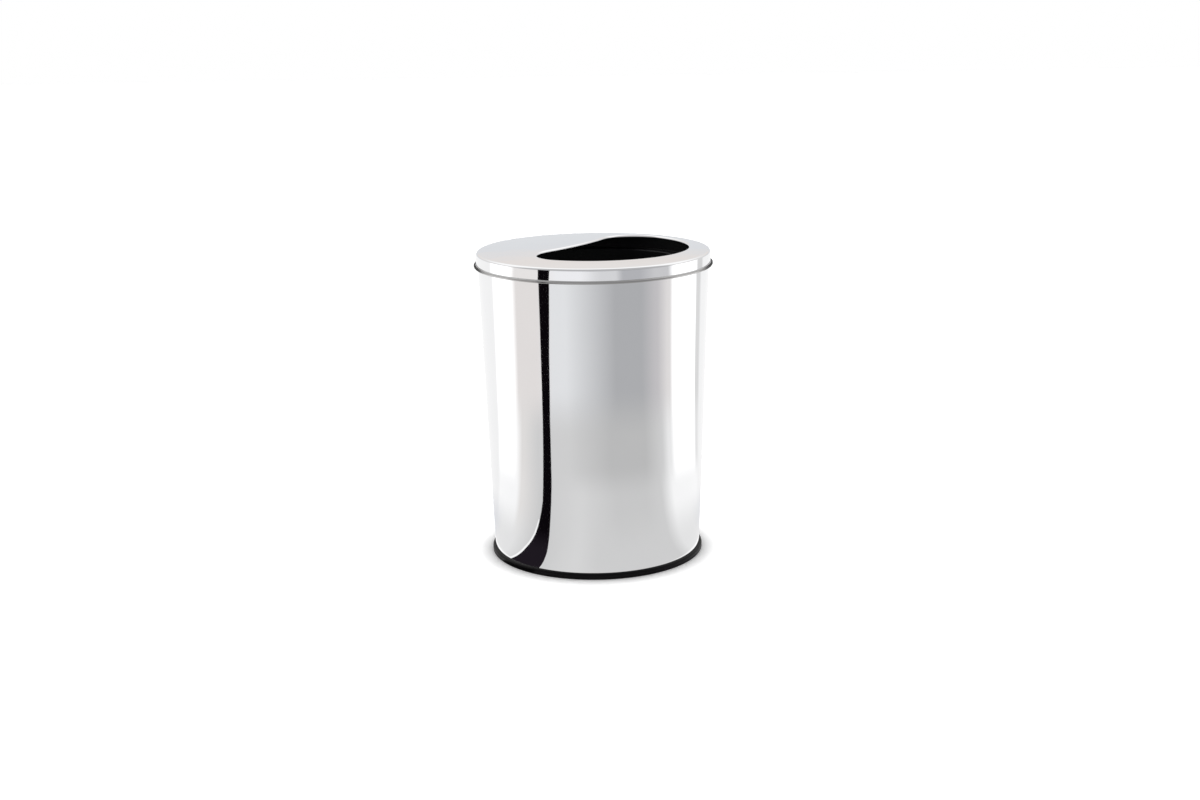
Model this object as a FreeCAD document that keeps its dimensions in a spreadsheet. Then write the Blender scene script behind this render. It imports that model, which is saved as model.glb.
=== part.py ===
import FreeCAD, Part
import enum
import math
import os
import re

import Sketcher

# A round steel waste bin, in millimetres: +Z up, origin at the middle of its foot on the floor,
# the camera's side towards -Y. Driving dimensions; every other length is worked out from these.
SIZES = {
    # Steel body
    "body_length": 320.6,
    "rim_radius": 122.0,
    "body_taper": 11.0,
    "sheet": 0.6,
    "curl_radius": 1.2,
    # Pressed bottom
    "pan_depth": 10.0,
    "pan_corner": 3.0,
    "pan_step": 3.0,
    "pan_border": 26.0,
    # Base ring
    "ring_sole": 2.5,
    "ring_height": 6.0,
    "ring_proud": 3.0,
    "ring_round": 1.8,
    "ring_edge": 0.8,
    "ring_lip": 3.0,
    # Lid
    "skirt_depth": 15.5,
    "lid_crown": 3.5,
    "shoulder_radius": 2.0,
    "bead_radius": 1.5,
    # Comma-shaped mouth of the lid, in plan
    "mouth_right": 2.9,
    "mouth_back": 13.9,
    "mouth_margin": 8.9,
    "mouth_head_radius": 36.7,
    "mouth_head_angle": 45.0,
    "mouth_tail_radius": 34.0,
    "mouth_tail_angle": 65.7,
    "mouth_waist_radius": 214.8,
    "lip_width": 2.0,
    "lip_depth": 2.2,
    "lip_round": 1.1,
    "lip_hem_round": 0.6,
    # Inner bucket
    "bucket_wall": 1.8,
    "bucket_corner": 9.0,
    "bucket_foot_gap": 2.0,
    "collar_depth": 14.5,
    "ledge_width": 11.5,
    "flange_thickness": 2.2,
    "flange_round": 1.0,
    # Carrying bail of the bucket
    "wire_radius": 2.0,
    "bail_bend": 5.0,
    "bail_tip": 0.8,
    "grip_radius": 4.5,
    "grip_angle": 46.0,
    "grip_round": 1.2,
    # Fits between pieces
    "seat_gap": 0.2,
    "rest_gap": 0.3,
    "pivot_gap": 0.3,
    "lid_gap": 0.8,
    "bucket_gap": 1.6,
    "bail_gap": 1.5,
    "grip_gap": 0.15,
    "cut_overrun": 5.0,
}

# Lengths that follow from the driving dimensions, each as a formula of named sizes.
WORKED = {
    "body_top": "ring_sole + body_length",
    "foot_radius": "rim_radius - body_taper",
    "wall_slope": "body_taper / (body_length - curl_radius)",
    "foot_inside": "foot_radius - sheet",
    "rim_inside": "rim_radius - 2 * curl_radius",
    "pan_top": "ring_sole + pan_depth",
    "pan_foot": "foot_inside - seat_gap",
    "pan_side": "pan_foot + wall_slope * pan_depth",
    "pan_plateau": "pan_foot - pan_border",
    "groove_inside": "pan_foot - sheet - seat_gap",
    "groove_outside": "foot_radius + seat_gap",
    "groove_lean": "wall_slope * (ring_height - ring_sole)",
    "ring_outside": "foot_radius + ring_proud",
    "ring_inside": "groove_inside - ring_lip",
    "flange_under": "body_top + rest_gap",
    "flange_top": "flange_under + flange_thickness",
    "flange_outside": "rim_radius - curl_radius / 2",
    "collar_outside": "rim_inside - bucket_gap",
    "collar_inside": "collar_outside - bucket_wall",
    "ledge_top": "flange_top - collar_depth",
    "bucket_foot": "pan_top + pan_step + bucket_foot_gap",
    "bucket_top_outside": "collar_outside - ledge_width",
    "bucket_lean": "wall_slope * (ledge_top - bucket_foot)",
    "bucket_foot_outside": "bucket_top_outside - bucket_lean",
    "lid_under": "flange_top + rest_gap",
    "lid_top": "lid_under + sheet",
    "lid_inside": "rim_radius + lid_gap",
    "lid_outside": "lid_inside + sheet",
    "shoulder_start": "lid_outside - shoulder_radius",
    "shoulder_low": "lid_top - shoulder_radius",
    "crown_radius": "(shoulder_start ^ 2 + lid_crown ^ 2) / (2 * lid_crown)",
    "lid_low": "lid_top - skirt_depth",
    "bead_middle": "lid_low + bead_radius",
    "bead_close": "bead_middle + sqrt(sheet * (2 * bead_radius - sheet))",
    "mouth_offset": "sqrt(mouth_right ^ 2 + mouth_back ^ 2)",
    "mouth_radius": "shoulder_start - mouth_margin - mouth_offset",
    "prism_height": "skirt_depth + lid_crown + cut_overrun",
    "pivot_height": "ledge_top + grip_radius + rest_gap",
    "pivot_radius": "wire_radius + pivot_gap",
    "bail_reach": "collar_inside - grip_radius - bail_gap",
    "bail_radius": "bail_reach - bail_bend",
    "bail_end": "collar_outside + bail_tip",
}

LINE = "line"
LEFT = "bulges left"
RIGHT = "bulges right"
WHOLE_TURN = 360.0

# How a sketch numbers the points of a curve, and its own axes.
Spot = enum.IntEnum("Spot", ["START", "END", "MIDDLE"])
Axis = enum.IntEnum("Axis", {"ACROSS": -1, "UP": -2})
ORIGIN = (Axis.ACROSS, Spot.START)

doc = FreeCAD.newDocument("steel_bin")
sheet = doc.addObject("Spreadsheet::Sheet", "Sizes")
for row, (name, size) in enumerate(SIZES.items(), start=1):
    sheet.set(f"A{row}", name)
    sheet.set(f"B{row}", str(size))
    sheet.setAlias(f"B{row}", name)
doc.recompute()


def formula(text):
    """Writes a formula of named and worked-out lengths as an expression on the sheet."""

    def spell(match):
        word = match.group()
        if word in WORKED:
            return f"({formula(WORKED[word])})"
        return f"Sizes.{word}" if word in SIZES else word

    return re.sub(r"[a-z_]+", spell, text)


def length(text):
    """Gives the present value of a formula."""
    return float(sheet.evalExpression(formula(text)))


def bind(thing, path, text):
    """Ties one property of a document object to a formula."""
    thing.setExpression(path, formula(text))


def constrain(sketch, kind, *places, size):
    """Adds a dimension to a sketch and ties it to a formula."""
    index = sketch.addConstraint(Sketcher.Constraint(kind, *places, length(size)))
    bind(sketch, f"Constraints[{index}]", size)


def pin(sketch, geometry, spot, across, up):
    """Fixes a point of a sketch by its two distances from the origin, zero or signed formulas."""
    for text, kind, axis in ((across, "DistanceX", Axis.UP), (up, "DistanceY", Axis.ACROSS)):
        if text == "0":
            sketch.addConstraint(Sketcher.Constraint("PointOnObject", geometry, spot, axis))
        elif text.startswith("-"):
            constrain(sketch, kind, geometry, spot, *ORIGIN, size=text[1:].strip())
        else:
            constrain(sketch, kind, *ORIGIN, geometry, spot, size=text)


def arc_between(first, last, radius, anticlockwise):
    """Makes the lesser arc of a radius between two points, with its start where a sketch counts it."""
    chord = last - first
    half = chord.Length / 2
    rise = radius - math.sqrt(max(radius**2 - half**2, 0))
    outward = FreeCAD.Vector(chord.y, -chord.x, 0).normalize() * (rise if anticlockwise else -rise)
    crest = (first + last) / 2 + outward
    return Part.Arc(first, crest, last) if anticlockwise else Part.Arc(last, crest, first)


def circle(across, up, radius):
    """Makes a circle from the formulas of its middle and its radius."""
    return Part.Circle(FreeCAD.Vector(length(across), length(up), 0), FreeCAD.Vector(0, 0, 1), length(radius))


def draw(sketch, corners, closed=True):
    """Draws an outline. Each corner is (across, up, way to the next corner, its radius)."""
    spots = [FreeCAD.Vector(length(across), length(up), 0) for across, up, *_ in corners]
    count = len(corners) if closed else len(corners) - 1
    ends = []
    for number in range(count):
        first, last = spots[number], spots[(number + 1) % len(spots)]
        way, *radius = corners[number][2:] or (LINE,)
        if way == LINE:
            sketch.addGeometry(Part.LineSegment(first, last), False)
        else:
            sketch.addGeometry(arc_between(first, last, length(radius[0]), way == RIGHT), False)
        ends.append((Spot.END, Spot.START) if way == LEFT else (Spot.START, Spot.END))
    for number in range(count):
        start, end = ends[number]
        across, up, *way = corners[number]
        pin(sketch, number, start, across, up)
        if number + 1 < count or closed:
            following = (number + 1) % count
            sketch.addConstraint(Sketcher.Constraint("Coincident", number, end, following, ends[following][0]))
        else:
            pin(sketch, number, end, *corners[-1][:2])
        if way and way[0] != LINE:
            constrain(sketch, "Radius", number, size=way[1])


def sketch_on(body, name, plane):
    """Adds an empty sketch to a body, on one of its own origin planes."""
    sketch = body.newObject("Sketcher::SketchObject", name)
    support = next(item for item in body.Origin.OriginFeatures if item.Role == plane)
    sketch.AttachmentSupport = [(support, "")]
    sketch.MapMode = "FlatFace"
    return sketch


def turned(label, corners):
    """Makes a body by turning a section, given as (radius, height) corners, about the upright axis."""
    body = doc.addObject("PartDesign::Body", label)
    sketch = sketch_on(body, f"{label}_section", "XZ_Plane")
    draw(sketch, corners)
    turn = body.newObject("PartDesign::Revolution", f"{label}_turn")
    turn.Profile = sketch
    turn.ReferenceAxis = (sketch, ["V_Axis"])
    turn.Angle = WHOLE_TURN
    doc.recompute()
    return body


def make_body_shell():
    """The tapered wall, rolled from sheet, with a safe edge curled inwards round its top."""
    curl_low = "body_top - 2 * curl_radius"
    curl_mid = "body_top - curl_radius"
    curl_axis = "rim_radius - curl_radius"
    return turned(
        "body_shell",
        [
            ("foot_radius", "ring_sole"),
            ("rim_radius", curl_mid, RIGHT, "curl_radius"),
            (curl_axis, "body_top", RIGHT, "curl_radius"),
            ("rim_inside", curl_mid, RIGHT, "curl_radius"),
            (curl_axis, curl_low),
            ("rim_radius - sheet", curl_low),
            ("foot_inside", "ring_sole"),
        ],
    )


def make_bottom_pan():
    """The pressed bottom: a flange turned down inside the wall and a raised middle that stiffens it."""
    return turned(
        "bottom_pan",
        [
            ("pan_foot", "ring_sole"),
            ("pan_side", "pan_top - pan_corner", RIGHT, "pan_corner"),
            ("pan_side - pan_corner", "pan_top"),
            ("pan_plateau + pan_step", "pan_top"),
            ("pan_plateau", "pan_top + pan_step"),
            ("0", "pan_top + pan_step"),
            ("0", "pan_top + pan_step - sheet"),
            ("pan_plateau - sheet / 2", "pan_top + pan_step - sheet"),
            ("pan_plateau + pan_step - sheet / 2", "pan_top - sheet"),
            ("pan_side - pan_corner", "pan_top - sheet", LEFT, "pan_corner - sheet"),
            ("pan_side - sheet", "pan_top - pan_corner"),
            ("pan_foot - sheet", "ring_sole"),
        ],
    )


def make_base_ring():
    """The black ring under the bin, with a groove that holds the foot of the wall and the pan's flange."""
    return turned(
        "base_ring",
        [
            ("ring_inside", "0"),
            ("ring_outside - ring_edge", "0", RIGHT, "ring_edge"),
            ("ring_outside", "ring_edge"),
            ("ring_outside", "ring_height - ring_round", RIGHT, "ring_round"),
            ("ring_outside - ring_round", "ring_height"),
            ("groove_outside + groove_lean", "ring_height"),
            ("groove_outside", "ring_sole"),
            ("groove_inside", "ring_sole"),
            ("groove_inside + groove_lean", "ring_height"),
            ("ring_inside", "ring_height"),
        ],
    )


def make_inner_bucket():
    """The black bucket: it hangs by its flange on the body's rim and has a ledge where its bail lies."""
    body = turned(
        "inner_bucket",
        [
            ("0", "bucket_foot"),
            ("bucket_foot_outside - bucket_corner", "bucket_foot", RIGHT, "bucket_corner"),
            ("bucket_foot_outside", "bucket_foot + bucket_corner"),
            ("bucket_top_outside", "ledge_top - bucket_wall"),
            ("collar_outside", "ledge_top - bucket_wall"),
            ("collar_outside", "flange_under"),
            ("flange_outside", "flange_under"),
            ("flange_outside", "flange_top - flange_round", RIGHT, "flange_round"),
            ("flange_outside - flange_round", "flange_top"),
            ("collar_inside", "flange_top"),
            ("collar_inside", "ledge_top"),
            ("bucket_top_outside - bucket_wall", "ledge_top"),
            ("bucket_foot_outside - bucket_wall", "bucket_foot + bucket_corner", LEFT, "bucket_corner - bucket_wall"),
            ("bucket_foot_outside - bucket_corner", "bucket_foot + bucket_wall"),
            ("0", "bucket_foot + bucket_wall"),
        ],
    )
    holes = sketch_on(body, "bail_holes", "YZ_Plane")
    hole = holes.addGeometry(circle("0", "pivot_height", "pivot_radius"), False)
    pin(holes, hole, Spot.MIDDLE, "0", "pivot_height")
    constrain(holes, "Radius", hole, size="pivot_radius")
    pocket = body.newObject("PartDesign::Pocket", "bail_pocket")
    pocket.Profile = holes
    pocket.Midplane = True
    bind(pocket, "Length", "2 * (collar_outside + cut_overrun)")
    doc.recompute()
    return body


def mouth_sketch(body, name, grown):
    """Draws the mouth as four arcs that run into each other: outer side, head, waist and tail."""
    centre = FreeCAD.Vector(length("mouth_right"), length("mouth_back"), 0)
    radii = [
        f"mouth_radius + {grown}",
        f"mouth_head_radius + {grown}",
        f"mouth_waist_radius - {grown}",
        f"mouth_tail_radius + {grown}",
    ]
    outer, head, waist, tail = (length(radius) for radius in radii)
    head_turn = math.radians(SIZES["mouth_head_angle"])
    tail_turn = math.radians(SIZES["mouth_tail_angle"]) + math.pi
    head_centre = centre + FreeCAD.Vector(math.cos(head_turn), math.sin(head_turn), 0) * (outer - head)
    tail_centre = centre + FreeCAD.Vector(math.cos(tail_turn), math.sin(tail_turn), 0) * (outer - tail)
    span = tail_centre - head_centre
    along = ((head + waist) ** 2 - (tail + waist) ** 2 + span.Length**2) / (2 * span.Length)
    aside = math.sqrt((head + waist) ** 2 - along**2)
    forward = FreeCAD.Vector(span).normalize()
    sideways = FreeCAD.Vector(forward.y, -forward.x, 0)
    waist_centre = head_centre + forward * along + sideways * aside

    def bearing(place, other):
        return math.atan2(other.y - place.y, other.x - place.x)

    head_end = bearing(head_centre, waist_centre)
    tail_start = bearing(tail_centre, waist_centre)
    up = FreeCAD.Vector(0, 0, 1)
    sketch = sketch_on(body, name, "XY_Plane")
    for place, radius, start, end in (
        (centre, outer, tail_turn, head_turn),
        (head_centre, head, head_turn, head_end),
        (waist_centre, waist, tail_start + math.pi, head_end + math.pi),
        (tail_centre, tail, tail_start, tail_turn),
    ):
        sketch.addGeometry(Part.ArcOfCircle(Part.Circle(place, up, radius), start, end), False)
    sides = range(sketch.GeometryCount)
    side, head, waist, tail = sides
    head_spoke = sketch.addGeometry(Part.LineSegment(centre, sketch.getPoint(side, Spot.END)), True)
    tail_spoke = sketch.addGeometry(Part.LineSegment(sketch.getPoint(side, Spot.START), centre), True)
    for relation, *places in (
        ("Tangent", side, Spot.END, head, Spot.START),
        ("Tangent", head, Spot.END, waist, Spot.END),
        ("Tangent", waist, Spot.START, tail, Spot.START),
        ("Tangent", tail, Spot.END, side, Spot.START),
        ("Coincident", head_spoke, Spot.START, side, Spot.MIDDLE),
        ("Coincident", head_spoke, Spot.END, side, Spot.END),
        ("Coincident", tail_spoke, Spot.START, side, Spot.START),
        ("Coincident", tail_spoke, Spot.END, side, Spot.MIDDLE),
    ):
        sketch.addConstraint(Sketcher.Constraint(relation, *places))
    pin(sketch, side, Spot.MIDDLE, "mouth_right", "mouth_back")
    for arc, radius in zip(sides, radii):
        constrain(sketch, "Radius", arc, size=radius)
    for spoke, angle in ((head_spoke, "mouth_head_angle"), (tail_spoke, "mouth_tail_angle")):
        index = sketch.addConstraint(Sketcher.Constraint("Angle", spoke, math.radians(SIZES[angle])))
        bind(sketch, f"Constraints[{index}]", f"{angle} * 1 deg")
    return sketch


def mouth_prism(label, grown):
    """Makes an upright prism on the mouth's outline, from the lid's lowest edge to above its crown."""
    body = doc.addObject("PartDesign::Body", label)
    sketch = mouth_sketch(body, f"{label}_outline", grown)
    bind(sketch, "AttachmentOffset.Base.z", "lid_low")
    pad = body.newObject("PartDesign::Pad", f"{label}_pad")
    pad.Profile = sketch
    bind(pad, "Length", "prism_height")
    doc.recompute()
    return body


def make_lid_cap():
    """The pressed lid: crowned top, soft shoulder, skirt with a curled bead, and the lipped mouth."""
    bead_axis = "lid_inside + bead_radius"
    blank = turned(
        "lid_blank",
        [
            ("0", "lid_under + lid_crown", LEFT, "crown_radius"),
            ("shoulder_start", "lid_under", LEFT, "shoulder_radius - sheet"),
            ("lid_inside", "shoulder_low"),
            ("lid_inside", "bead_middle", RIGHT, "bead_radius"),
            (bead_axis, "lid_low", RIGHT, "bead_radius"),
            ("lid_inside + 2 * bead_radius", "bead_middle", RIGHT, "bead_radius"),
            (bead_axis, "bead_middle + bead_radius", RIGHT, "bead_radius"),
            ("lid_outside", "bead_close"),
            ("lid_outside", "shoulder_low", RIGHT, "shoulder_radius"),
            ("shoulder_start", "lid_top", RIGHT, "crown_radius"),
            ("0", "lid_top + lid_crown"),
        ],
    )
    layer = turned(
        "lip_layer",
        [
            ("0", "lid_top + lid_crown - lip_depth", LEFT, "crown_radius"),
            ("shoulder_start", "lid_top - lip_depth"),
            ("shoulder_start", "lid_top - sheet / 2", RIGHT, "crown_radius"),
            ("0", "lid_top + lid_crown - sheet / 2"),
        ],
    )
    lip = doc.addObject("Part::Common", "lip_patch")
    lip.Base = layer
    lip.Tool = mouth_prism("lip_prism", "lip_width")
    lipped = doc.addObject("Part::Fuse", "lipped_blank")
    lipped.Base = blank
    lipped.Tool = lip
    opened = doc.addObject("Part::Cut", "opened_blank")
    opened.Base = lipped
    opened.Tool = mouth_prism("mouth_cut", "0")
    doc.recompute()

    body = doc.addObject("PartDesign::Body", "lid_cap")
    body.BaseFeature = opened
    doc.recompute()
    add_fillet(body, "lip_hem_fillet", mouth_rims(body.Tip.Shape)[1], "lip_hem_round")
    add_fillet(body, "lip_top_fillet", mouth_rims(body.Tip.Shape)[0], "lip_round")
    return body


def mouth_rims(shape):
    """Finds the mouth's upper edges, which the crown has away from its shoulder, and those below them."""
    inside = length("shoulder_start - lip_width")
    crown = max(shape.Faces, key=lambda face: (face.CenterOfMass.z > length("lid_top"), face.Area))
    upper = [edge for edge in crown.Edges if all(math.hypot(v.X, v.Y) < inside for v in edge.Vertexes)]
    tops = [vertex.Point for edge in upper for vertex in edge.Vertexes]
    walls = [
        face
        for face in shape.Faces
        if not face.isSame(crown) and any(edge.isSame(rim) for edge in face.Edges for rim in upper)
    ]
    near = length("sheet")
    lower = [
        edge
        for wall in walls
        for edge in wall.Edges
        if not any(vertex.Point.isEqual(top, near) for vertex in edge.Vertexes for top in tops)
    ]
    return upper, lower


def add_fillet(body, label, edges, radius):
    """Rounds some edges of a body's present shape."""
    base = body.Tip
    names = [f"Edge{k}" for k, edge in enumerate(base.Shape.Edges, start=1) if any(edge.isSame(e) for e in edges)]
    fillet = body.newObject("PartDesign::Fillet", label)
    fillet.Base = (base, names)
    bind(fillet, "Radius", radius)
    doc.recompute()


def make_bail_wire():
    """The bail: wire ends in the collar's holes, a tight bend at each and a half circle round the front."""
    body = doc.addObject("PartDesign::Body", "bail_wire")
    path = sketch_on(body, "bail_path", "XY_Plane")
    bind(path, "AttachmentOffset.Base.z", "pivot_height")
    draw(
        path,
        [
            ("-(bail_end)", "0"),
            ("-(bail_radius + bail_bend)", "0", LEFT, "bail_bend"),
            ("-(bail_radius)", "-(bail_bend)", RIGHT, "bail_radius"),
            ("0", "-(bail_reach)", RIGHT, "bail_radius"),
            ("bail_radius", "-(bail_bend)", LEFT, "bail_bend"),
            ("bail_radius + bail_bend", "0"),
            ("bail_end", "0"),
        ],
        closed=False,
    )
    section = sketch_on(body, "bail_section", "YZ_Plane")
    bind(section, "AttachmentOffset.Base.z", "-(bail_end)")
    wire = section.addGeometry(circle("0", "pivot_height", "wire_radius"), False)
    pin(section, wire, Spot.MIDDLE, "0", "pivot_height")
    constrain(section, "Radius", wire, size="wire_radius")
    pipe = body.newObject("PartDesign::AdditivePipe", "bail_pipe")
    pipe.Profile = section
    pipe.Spine = path
    doc.recompute()
    return body


def make_bail_grip():
    """The moulded grip: a short curved tube on the middle of the bail."""
    body = doc.addObject("PartDesign::Body", "bail_grip")
    section = sketch_on(body, "grip_section", "YZ_Plane")
    for radius in ("grip_radius", "wire_radius + grip_gap"):
        ring = section.addGeometry(circle("-(bail_reach)", "pivot_height", radius), False)
        pin(section, ring, Spot.MIDDLE, "-(bail_reach)", "pivot_height")
        constrain(section, "Radius", ring, size=radius)
    foot = FreeCAD.Vector(-length("bail_bend"), 0, 0)
    head = FreeCAD.Vector(-length("bail_bend"), length("pivot_height"), 0)
    axis = section.addGeometry(Part.LineSegment(foot, head), True)
    pin(section, axis, Spot.START, "-(bail_bend)", "0")
    pin(section, axis, Spot.END, "-(bail_bend)", "pivot_height")
    turn = body.newObject("PartDesign::Revolution", "grip_turn")
    turn.Profile = section
    turn.ReferenceAxis = (section, ["Axis0"])
    turn.Midplane = True
    bind(turn, "Angle", "grip_angle * 1 deg")
    doc.recompute()
    outer = max(turn.Shape.Faces, key=lambda face: face.Area)
    rims = [edge for edge in outer.Edges if edge.isClosed()]
    add_fillet(body, "grip_end_fillet", rims, "grip_round")
    return body


def check(parts):
    """Stops if any object of the document failed or a part's shape isn't one valid solid."""
    failed = [item.Name for item in doc.Objects if {"Invalid", "Error"} & set(item.State)]
    if failed:
        raise RuntimeError(f"these objects failed: {failed}")
    for part in parts:
        shape = part.Shape
        if shape.isNull() or not shape.isValid() or len(shape.Solids) != 1:
            raise RuntimeError(f"{part.Label} isn't one valid solid")


def main():
    """Builds every piece, checks it and writes it to its own file."""
    parts = [
        make_body_shell(),
        make_bottom_pan(),
        make_base_ring(),
        make_inner_bucket(),
        make_bail_wire(),
        make_bail_grip(),
        make_lid_cap(),
    ]
    doc.recompute()
    check(parts)
    os.makedirs("parts", exist_ok=True)
    for part in parts:
        part.Shape.exportStep(f"parts/{part.Label}.step")
        box = part.Shape.BoundBox
        print(f"{part.Label}: {part.Shape.Volume:.0f} mm3, {box.XLength:.1f} x {box.YLength:.1f} x {box.ZLength:.1f}")


main()
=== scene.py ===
"""Looks of the trash can: polished steel body and lid, black base ring, lift-out bucket and its bail."""

import logging
import math
from collections.abc import Callable, Sequence
from dataclasses import dataclass
from enum import Enum

import bmesh
import bpy
from mathutils import Matrix, Vector


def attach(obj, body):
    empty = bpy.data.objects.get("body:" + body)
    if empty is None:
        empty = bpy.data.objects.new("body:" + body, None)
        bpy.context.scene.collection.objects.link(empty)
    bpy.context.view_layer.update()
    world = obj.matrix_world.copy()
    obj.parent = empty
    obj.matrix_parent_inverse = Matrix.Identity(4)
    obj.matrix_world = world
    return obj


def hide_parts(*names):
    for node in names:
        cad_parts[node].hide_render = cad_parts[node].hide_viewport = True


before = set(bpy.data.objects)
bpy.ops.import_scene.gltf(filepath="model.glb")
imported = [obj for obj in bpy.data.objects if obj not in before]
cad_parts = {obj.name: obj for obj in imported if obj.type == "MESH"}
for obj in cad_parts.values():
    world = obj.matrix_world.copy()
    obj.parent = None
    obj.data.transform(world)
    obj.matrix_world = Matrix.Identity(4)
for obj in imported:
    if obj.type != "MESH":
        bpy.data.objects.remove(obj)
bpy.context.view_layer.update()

LOG = logging.getLogger("trash_can")

Point = tuple[float, float]
Colour = tuple[float, float, float]
Corner = tuple[float, float, float]
Face = tuple[int, ...]
Stop = tuple[float, Colour]
TubeStation = tuple[Vector, float, float]
Settings = dict[str, object] | None
Sockets = dict[str | int, object] | None

BLACK: Colour = (0.0, 0.0, 0.0)
WHITE: Colour = (1.0, 1.0, 1.0)
NOISE_MIDDLE = 0.5
FULL_TURN_DEG = 360.0
HALF_TURN_SHARE = 0.5
SEGMENTS = 384
ARC_STEP_DEG = 7.0
ARC_LEAST_STEPS = 5
CREASE_DEG = 32.0
AXIS_LIMIT = 1e-7


class Body(Enum):
    """The moving bodies that the pieces ride on."""

    CAN = "can"
    BUCKET = "bucket"
    LID = "lid"
    BAIL = "bail"


class Value:
    """One output of a node, on which Python's operators add Math nodes."""

    def __init__(self, graph: "Graph", socket: bpy.types.NodeSocket) -> None:
        """Keeps the socket and the graph that it belongs to."""
        self.graph = graph
        self.socket = socket

    def __add__(self, other: "Value | float") -> "Value":
        """Adds a value or a number."""
        return self.graph.maths("ADD", self, other)

    def __radd__(self, other: float) -> "Value":
        """Adds this value to a number."""
        return self.graph.maths("ADD", other, self)

    def __sub__(self, other: "Value | float") -> "Value":
        """Takes a value or a number away."""
        return self.graph.maths("SUBTRACT", self, other)

    def __rsub__(self, other: float) -> "Value":
        """Takes this value away from a number."""
        return self.graph.maths("SUBTRACT", other, self)

    def __mul__(self, other: "Value | float") -> "Value":
        """Multiplies by a value or a number."""
        return self.graph.maths("MULTIPLY", self, other)

    def __rmul__(self, other: float) -> "Value":
        """Multiplies a number by this value."""
        return self.graph.maths("MULTIPLY", other, self)

    def __truediv__(self, other: "Value | float") -> "Value":
        """Divides by a value or a number."""
        return self.graph.maths("DIVIDE", self, other)

    def __rtruediv__(self, other: float) -> "Value":
        """Divides a number by this value."""
        return self.graph.maths("DIVIDE", other, self)

    def __neg__(self) -> "Value":
        """Turns the sign round."""
        return self.graph.maths("MULTIPLY", self, -1.0)

    def __abs__(self) -> "Value":
        """Drops the sign."""
        return self.graph.maths("ABSOLUTE", self)


Worked = tuple[Value, Value, Value | float]


@dataclass(frozen=True)
class Grain:
    """A cloudy pattern: its grains in a metre, its finer layers and how it is stretched along the axes."""

    scale: float
    detail: float
    stretch: Corner = (1.0, 1.0, 1.0)


class Ray(Enum):
    """The kinds of ray that a shader can be shown to."""

    CAMERA = "Is Camera Ray"
    MIRRORED = "Is Glossy Ray"


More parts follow.
